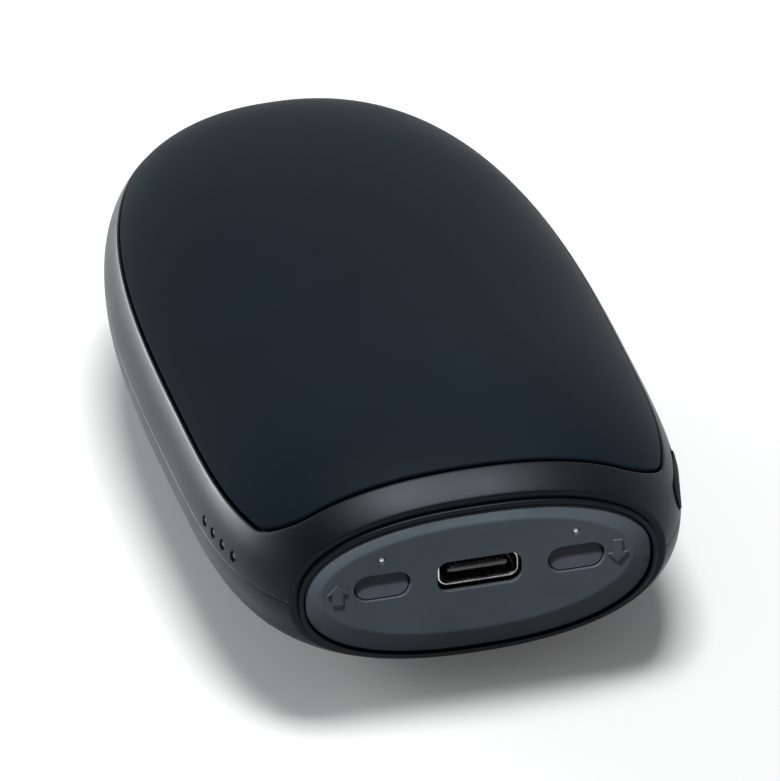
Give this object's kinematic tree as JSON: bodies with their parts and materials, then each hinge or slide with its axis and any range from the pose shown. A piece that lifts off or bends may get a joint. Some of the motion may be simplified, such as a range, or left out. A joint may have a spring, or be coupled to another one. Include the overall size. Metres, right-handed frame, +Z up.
{
  "type": "rechargeable hand warmer",
  "caption": "Pebble-shaped pocket hand warmer with heated covers on both faces, an end panel with keys and a charging port, and a power button on the flank.",
  "frame": {"origin": "middle of the box's underside, on the surface that the hand warmer rests on", "axes": "+X across the width towards the flank with the power button, +Y along the length from the end panel to the tail, +Z up"},
  "size_m": [0.0524, 0.095, 0.027],
  "materials": {
    "cover_coating": "soft-touch matte coating",
    "shell_plastic": "fine satin, moulded",
    "panel_plastic": "matte, moulded",
    "cap_plastic": "matte, moulded",
    "switch_plastic": "moulded",
    "plated_steel": "nickel plated",
    "chip_plastic": "moulded",
    "contact_gold": "gold flash",
    "clear_plastic": "milky, translucent",
    "circuit_board": "solder mask",
    "ferrite": "unglazed",
    "capacitor_ceramic": "unglazed",
    "cell_pouch": "laminated foil",
    "tape": "adhesive tape",
    "tray_plastic": "moulded",
    "red_insulation": "silicone",
    "black_insulation": "silicone",
    "heater_film": "polyimide film",
    "foam": "closed-cell foam",
    "white_insulation": "silicone"
  },
  "bodies": {
    "body": {"top_cover": "cover_coating", "bottom_cover": "cover_coating", "upper_shell": "shell_plastic", "lower_shell": "shell_plastic", "end_panel": "panel_plastic", "port_shell": "plated_steel", "port_tongue": "chip_plastic", "port_contacts": "contact_gold", "panel_light_pipes": "clear_plastic", "charge_light_guide": "clear_plastic", "main_board": "circuit_board", "key_switches": "switch_plastic", "power_switch": "switch_plastic", "light_chips": "clear_plastic", "control_chips": "chip_plastic", "boost_inductor": "ferrite", "capacitors": "capacitor_ceramic", "upper_cell": "cell_pouch", "lower_cell": "cell_pouch", "cell_tape": "tape", "cell_tray": "tray_plastic", "protection_board": "circuit_board", "protection_chips": "chip_plastic", "cell_tabs": "plated_steel", "red_battery_lead": "red_insulation", "black_battery_lead": "black_insulation", "upper_heater": "heater_film", "lower_heater": "heater_film", "upper_foam_pad": "foam", "lower_foam_pad": "foam", "heat_sensors": "chip_plastic", "heater_leads": "white_insulation", "shell_screws": "plated_steel", "board_screws": "plated_steel"},
    "up_key": {"key_up": "cap_plastic", "up_plunger": "switch_plastic"},
    "down_key": {"key_down": "cap_plastic", "down_plunger": "switch_plastic"},
    "power_key": {"power_button": "cap_plastic", "power_plunger": "switch_plastic"}
  },
  "joints": [
    {"name": "up_key_press", "type": "slide", "parent": "body", "child": "up_key", "axis": [0, 1, 0], "range_m": [0, 0.0003], "stiffness_N_per_m": 3000},
    {"name": "down_key_press", "type": "slide", "parent": "body", "child": "down_key", "axis": [0, 1, 0], "range_m": [0, 0.0003], "stiffness_N_per_m": 3000},
    {"name": "power_key_press", "type": "slide", "parent": "body", "child": "power_key", "axis": [-0.9777, 0.2099, 0], "range_m": [0, 0.0003], "stiffness_N_per_m": 3000}
  ]
}
